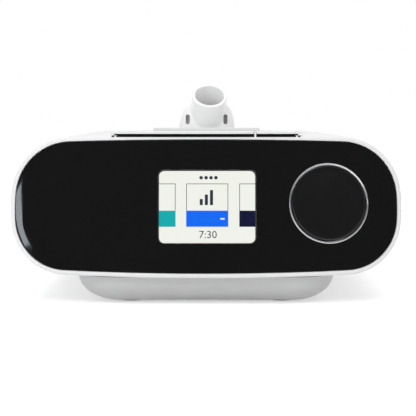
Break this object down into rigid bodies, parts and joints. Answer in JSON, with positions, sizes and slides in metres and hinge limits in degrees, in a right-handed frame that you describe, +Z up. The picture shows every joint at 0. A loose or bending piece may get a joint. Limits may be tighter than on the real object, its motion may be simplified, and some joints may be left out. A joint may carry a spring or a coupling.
{
  "type": "bilevel pap machine",
  "caption": "Bilevel airway pressure machine with a glossy front, lit screen and turning dial, docked to a heated humidifier with a hinged lid, water tank and slanted hose port.",
  "frame": {"origin": "the middle of the footprint's box, on the table", "axes": "+X to the viewer's right, +Y from the front to the back, +Z up"},
  "size_m": [0.193, 0.297, 0.1127],
  "materials": {
    "gloss_black": "high gloss",
    "shell_white": "fine satin",
    "shell_grey": "fine satin",
    "clear_window": "polished",
    "screen_panel": "lit display",
    "circuit_green": "lacquered board",
    "bright_ring": "polished ring",
    "dial_black": "satin black",
    "steel": "turned",
    "brass_rotor": "turned",
    "black_plastic": "moulded",
    "chassis_grey": "moulded",
    "cap_white": "satin",
    "latch_white": "satin",
    "dark_rubber": "soft matte",
    "duct_white": "moulded",
    "impeller_white": "moulded",
    "magnet": "coated",
    "winding": "enamelled copper",
    "foam": "open foam",
    "filter_white": "fine fibre",
    "filter_grey": "coarse fibre",
    "duct_grey": "soft",
    "tank_clear": "clear tinted plastic",
    "plate_metal": "brushed"
  },
  "bodies": {
    "case": {"front_fascia": "gloss_black", "front_bezel": "shell_white", "screen_window": "clear_window", "display_module": "screen_panel", "display_board": "circuit_green", "dial_ring": "bright_ring", "encoder_body": "black_plastic", "top_housing": "shell_white", "bottom_housing": "shell_grey", "chassis": "chassis_grey", "button_mat": "dark_rubber", "button_board": "circuit_green", "button_switches": "black_plastic", "volute_lower": "duct_white", "volute_upper": "duct_white", "motor_cover": "chassis_grey", "motor_stator": "winding", "motor_bearings": "steel", "blower_mounts": "dark_rubber", "intake_box": "duct_white", "muffler_foam": "foam", "fine_filter": "filter_white", "pollen_filter": "filter_grey", "door_pins": "steel", "sd_socket": "steel", "main_board": "circuit_green", "flow_sensor": "black_plastic", "alarm_speaker": "black_plastic", "outlet_duct": "duct_grey", "outlet_seal": "dark_rubber", "dock_socket": "black_plastic", "dock_plug": "black_plastic", "humidifier_base": "shell_grey", "lid_pins": "steel", "dry_box": "duct_white", "heater_springs": "steel", "humidifier_board": "circuit_green", "power_inlet": "black_plastic", "rubber_feet": "dark_rubber", "screws": "steel"},
    "dial_rotor": {"encoder_rotor": "brass_rotor"},
    "dial": {"control_dial": "dial_black", "dial_shaft": "steel"},
    "therapy_cap": {"therapy_button": "cap_white"},
    "ramp_cap": {"ramp_button": "cap_white"},
    "filter_flap": {"filter_door": "shell_white"},
    "card_flap": {"sd_door": "shell_white"},
    "card": {"sd_card": "black_plastic"},
    "blower_rotor": {"impeller": "impeller_white", "motor_shaft": "steel", "motor_magnet": "magnet"},
    "lid": {"humidifier_lid": "shell_white", "outlet_port": "shell_white", "lid_seal": "dark_rubber"},
    "latch": {"lid_latch": "latch_white"},
    "tank": {"tank_base": "tank_clear", "tank_lid": "tank_clear", "tank_plate": "plate_metal"},
    "heater": {"heater_plate": "plate_metal"},
    "release": {"dock_release": "latch_white"}
  },
  "joints": [
    {"name": "dial_turn", "type": "hinge", "parent": "case", "child": "dial_rotor", "pos_m": [0.06, -0.13909, 0.04988], "axis": [0.1429, -0.9801, 0.1377], "continuous": true},
    {"name": "dial_press", "type": "slide", "parent": "dial_rotor", "child": "dial", "axis": [-0.1429, 0.9801, -0.1377], "range_m": [0, 0.0006], "stiffness_N_per_m": 1500},
    {"name": "therapy_press", "type": "slide", "parent": "case", "child": "therapy_cap", "axis": [0, 0, -1], "range_m": [0, 0.0007], "stiffness_N_per_m": 1200},
    {"name": "ramp_press", "type": "slide", "parent": "case", "child": "ramp_cap", "axis": [0, 0, -1], "range_m": [0, 0.0007], "stiffness_N_per_m": 1200},
    {"name": "filter_door_swing", "type": "hinge", "parent": "case", "child": "filter_flap", "pos_m": [0.09324, -0.062, 0.035], "axis": [0, 1, 0], "range_deg": [0, 90]},
    {"name": "sd_door_swing", "type": "hinge", "parent": "case", "child": "card_flap", "pos_m": [-0.09437, -0.058, 0.052], "axis": [0, -1, 0], "range_deg": [0, 90]},
    {"name": "sd_card_push", "type": "slide", "parent": "case", "child": "card", "axis": [1, 0, 0], "range_m": [0, 0.001], "stiffness_N_per_m": 800},
    {"name": "blower_spin", "type": "hinge", "parent": "case", "child": "blower_rotor", "pos_m": [-0.002, -0.062, 0.04], "axis": [0, 0, 1], "continuous": true},
    {"name": "lid_swing", "type": "hinge", "parent": "case", "child": "lid", "pos_m": [0, 0.1452, 0.06215], "axis": [-1, 0, 0], "range_deg": [0, 95]},
    {"name": "lid_latch_slide", "type": "slide", "parent": "lid", "child": "latch", "axis": [0, 1, 0], "range_m": [0, 0.0035], "stiffness_N_per_m": 600},
    {"name": "tank_lift", "type": "slide", "parent": "case", "child": "tank", "axis": [0, 0, 1], "range_m": [0, 0.03]},
    {"name": "heater_plate_rise", "type": "slide", "parent": "case", "child": "heater", "axis": [0, 0, 1], "range_m": [0, 0.0025], "deforming": ["heater_springs"]},
    {"name": "dock_release_press", "type": "slide", "parent": "case", "child": "release", "axis": [-1, 0, 0], "range_m": [0, 0.003], "stiffness_N_per_m": 600}
  ],
  "couplings": [
    {"joint": "tank_lift", "follows": "lid_swing", "m_per_rad": 0.018},
    {"joint": "heater_plate_rise", "follows": "lid_swing", "m_per_rad": 0.0015}
  ]
}
